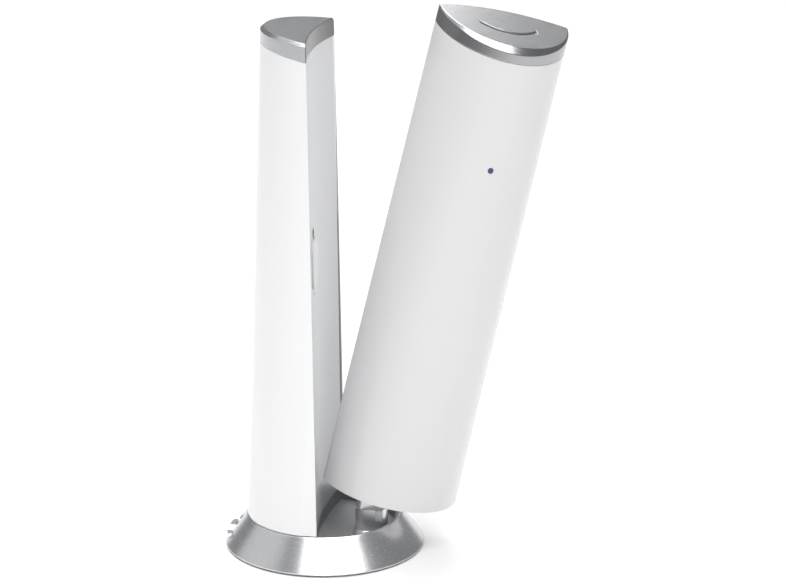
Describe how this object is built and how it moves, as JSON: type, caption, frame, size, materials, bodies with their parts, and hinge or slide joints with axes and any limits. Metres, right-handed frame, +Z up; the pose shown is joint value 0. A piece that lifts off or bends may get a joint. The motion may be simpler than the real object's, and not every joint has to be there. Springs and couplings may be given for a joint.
{
  "type": "cordless phone with base",
  "caption": "Cordless phone: a slim half-round handset leaning on the charging post of a round base that carries a tall half-round column.",
  "frame": {"origin": "centre of the base ring, on the surface that it stands on", "axes": "+Z up; -Y is the handset's side of the base, +Y the column and the sockets; +X to the right seen from the handset's side"},
  "size_m": [0.076, 0.1263, 0.2087],
  "materials": {
    "satin_silver": "satin brushed",
    "post_chrome": "polished",
    "white_gloss": "glossy",
    "face_white": "semi-gloss",
    "dark_plastic": "fine matte",
    "foot_rubber": "matte",
    "cast_ballast": "rough cast",
    "steel_screw": "zinc plated",
    "gold_contact": "gold plated",
    "board_green": "solder mask",
    "antenna_brass": "plain",
    "status_green": "clear tinted",
    "blue_lens": "clear tinted",
    "window_glass": "polished",
    "display_grey": "matte",
    "mat_rubber": "matte",
    "speaker_black": "matte",
    "grille_steel": "fine mesh",
    "cell_wrap": "shrink sleeve",
    "key_white": "semi-gloss",
    "key_silver": "silver painted",
    "key_green": "semi-gloss",
    "key_red": "semi-gloss"
  },
  "bodies": {
    "base": {"base_ring": "satin_silver", "foot_ring": "foot_rubber", "base_plate": "dark_plastic", "base_screws": "steel_screw", "base_weight": "cast_ballast", "well_tray": "dark_plastic", "charging_post": "post_chrome", "charging_shoe": "dark_plastic", "contact_tab": "white_gloss", "power_jack": "dark_plastic", "line_jack": "dark_plastic", "column_foot": "dark_plastic", "column_screws": "steel_screw", "column_shell": "white_gloss", "column_face": "face_white", "column_cap": "satin_silver", "base_board": "board_green", "antenna": "antenna_brass", "page_switch": "dark_plastic", "status_lens": "status_green"},
    "handset": {"handset_shell": "white_gloss", "handset_cover": "face_white", "handset_cap": "satin_silver", "charge_socket": "dark_plastic", "socket_pads": "gold_contact", "handset_board": "board_green", "keypad_mat": "mat_rubber", "display_window": "window_glass", "display_module": "display_grey", "earpiece_grille": "grille_steel", "earpiece_speaker": "speaker_black", "ringer_speaker": "speaker_black", "microphone": "speaker_black", "light_guide": "blue_lens", "battery_cells": "cell_wrap", "handset_screws": "steel_screw"},
    "page_key": {"page_key": "white_gloss"},
    "contact_pin_left": {"contact_pin_left": "gold_contact"},
    "contact_pin_right": {"contact_pin_right": "gold_contact"},
    "battery_door": {"battery_door": "face_white"},
    "talk_key": {"talk_key": "key_green"},
    "end_key": {"end_key": "key_red"},
    "select_key": {"select_key": "key_silver"},
    "soft_key_left": {"soft_key_left": "key_silver"},
    "soft_key_right": {"soft_key_right": "key_silver"},
    "key_1": {"key_1": "key_white"},
    "key_2": {"key_2": "key_white"},
    "key_3": {"key_3": "key_white"},
    "key_4": {"key_4": "key_white"},
    "key_5": {"key_5": "key_white"},
    "key_6": {"key_6": "key_white"},
    "key_7": {"key_7": "key_white"},
    "key_8": {"key_8": "key_white"},
    "key_9": {"key_9": "key_white"},
    "key_star": {"key_star": "key_white"},
    "key_0": {"key_0": "key_white"},
    "key_hash": {"key_hash": "key_white"}
  },
  "joints": [
    {"name": "handset_lift", "type": "slide", "parent": "base", "child": "handset", "axis": [0.0529, -0.2204, 0.974], "range_m": [0, 0.21]},
    {"name": "page_press", "type": "slide", "parent": "base", "child": "page_key", "axis": [0, 1, 0], "range_m": [0, 0.0007], "stiffness_N_per_m": 1200, "springref_m": -0.0003},
    {"name": "contact_left_press", "type": "slide", "parent": "base", "child": "contact_pin_left", "axis": [-0.0529, 0.2204, -0.974], "range_m": [0, 0.0006], "stiffness_N_per_m": 600, "springref_m": -0.0003},
    {"name": "contact_right_press", "type": "slide", "parent": "base", "child": "contact_pin_right", "axis": [-0.0529, 0.2204, -0.974], "range_m": [0, 0.0006], "stiffness_N_per_m": 600, "springref_m": -0.0003},
    {"name": "battery_door_slide", "type": "slide", "parent": "handset", "child": "battery_door", "axis": [-0.0529, 0.2204, -0.974], "range_m": [0, 0.006]},
    {"name": "talk_key_press", "type": "slide", "parent": "handset", "child": "talk_key", "axis": [-0.9188, -0.3928, -0.039], "range_m": [0, 0.0005], "stiffness_N_per_m": 1500, "springref_m": -0.0003},
    {"name": "end_key_press", "type": "slide", "parent": "handset", "child": "end_key", "axis": [-0.9188, -0.3928, -0.039], "range_m": [0, 0.0005], "stiffness_N_per_m": 1500, "springref_m": -0.0003},
    {"name": "select_key_press", "type": "slide", "parent": "handset", "child": "select_key", "axis": [-0.9188, -0.3928, -0.039], "range_m": [0, 0.0005], "stiffness_N_per_m": 1500, "springref_m": -0.0003},
    {"name": "soft_key_left_press", "type": "slide", "parent": "handset", "child": "soft_key_left", "axis": [-0.9188, -0.3928, -0.039], "range_m": [0, 0.0005], "stiffness_N_per_m": 1500, "springref_m": -0.0003},
    {"name": "soft_key_right_press", "type": "slide", "parent": "handset", "child": "soft_key_right", "axis": [-0.9188, -0.3928, -0.039], "range_m": [0, 0.0005], "stiffness_N_per_m": 1500, "springref_m": -0.0003},
    {"name": "key_1_press", "type": "slide", "parent": "handset", "child": "key_1", "axis": [-0.9188, -0.3928, -0.039], "range_m": [0, 0.0005], "stiffness_N_per_m": 1500, "springref_m": -0.0003},
    {"name": "key_2_press", "type": "slide", "parent": "handset", "child": "key_2", "axis": [-0.9188, -0.3928, -0.039], "range_m": [0, 0.0005], "stiffness_N_per_m": 1500, "springref_m": -0.0003},
    {"name": "key_3_press", "type": "slide", "parent": "handset", "child": "key_3", "axis": [-0.9188, -0.3928, -0.039], "range_m": [0, 0.0005], "stiffness_N_per_m": 1500, "springref_m": -0.0003},
    {"name": "key_4_press", "type": "slide", "parent": "handset", "child": "key_4", "axis": [-0.9188, -0.3928, -0.039], "range_m": [0, 0.0005], "stiffness_N_per_m": 1500, "springref_m": -0.0003},
    {"name": "key_5_press", "type": "slide", "parent": "handset", "child": "key_5", "axis": [-0.9188, -0.3928, -0.039], "range_m": [0, 0.0005], "stiffness_N_per_m": 1500, "springref_m": -0.0003},
    {"name": "key_6_press", "type": "slide", "parent": "handset", "child": "key_6", "axis": [-0.9188, -0.3928, -0.039], "range_m": [0, 0.0005], "stiffness_N_per_m": 1500, "springref_m": -0.0003},
    {"name": "key_7_press", "type": "slide", "parent": "handset", "child": "key_7", "axis": [-0.9188, -0.3928, -0.039], "range_m": [0, 0.0005], "stiffness_N_per_m": 1500, "springref_m": -0.0003},
    {"name": "key_8_press", "type": "slide", "parent": "handset", "child": "key_8", "axis": [-0.9188, -0.3928, -0.039], "range_m": [0, 0.0005], "stiffness_N_per_m": 1500, "springref_m": -0.0003},
    {"name": "key_9_press", "type": "slide", "parent": "handset", "child": "key_9", "axis": [-0.9188, -0.3928, -0.039], "range_m": [0, 0.0005], "stiffness_N_per_m": 1500, "springref_m": -0.0003},
    {"name": "key_star_press", "type": "slide", "parent": "handset", "child": "key_star", "axis": [-0.9188, -0.3928, -0.039], "range_m": [0, 0.0005], "stiffness_N_per_m": 1500, "springref_m": -0.0003},
    {"name": "key_0_press", "type": "slide", "parent": "handset", "child": "key_0", "axis": [-0.9188, -0.3928, -0.039], "range_m": [0, 0.0005], "stiffness_N_per_m": 1500, "springref_m": -0.0003},
    {"name": "key_hash_press", "type": "slide", "parent": "handset", "child": "key_hash", "axis": [-0.9188, -0.3928, -0.039], "range_m": [0, 0.0005], "stiffness_N_per_m": 1500, "springref_m": -0.0003}
  ]
}
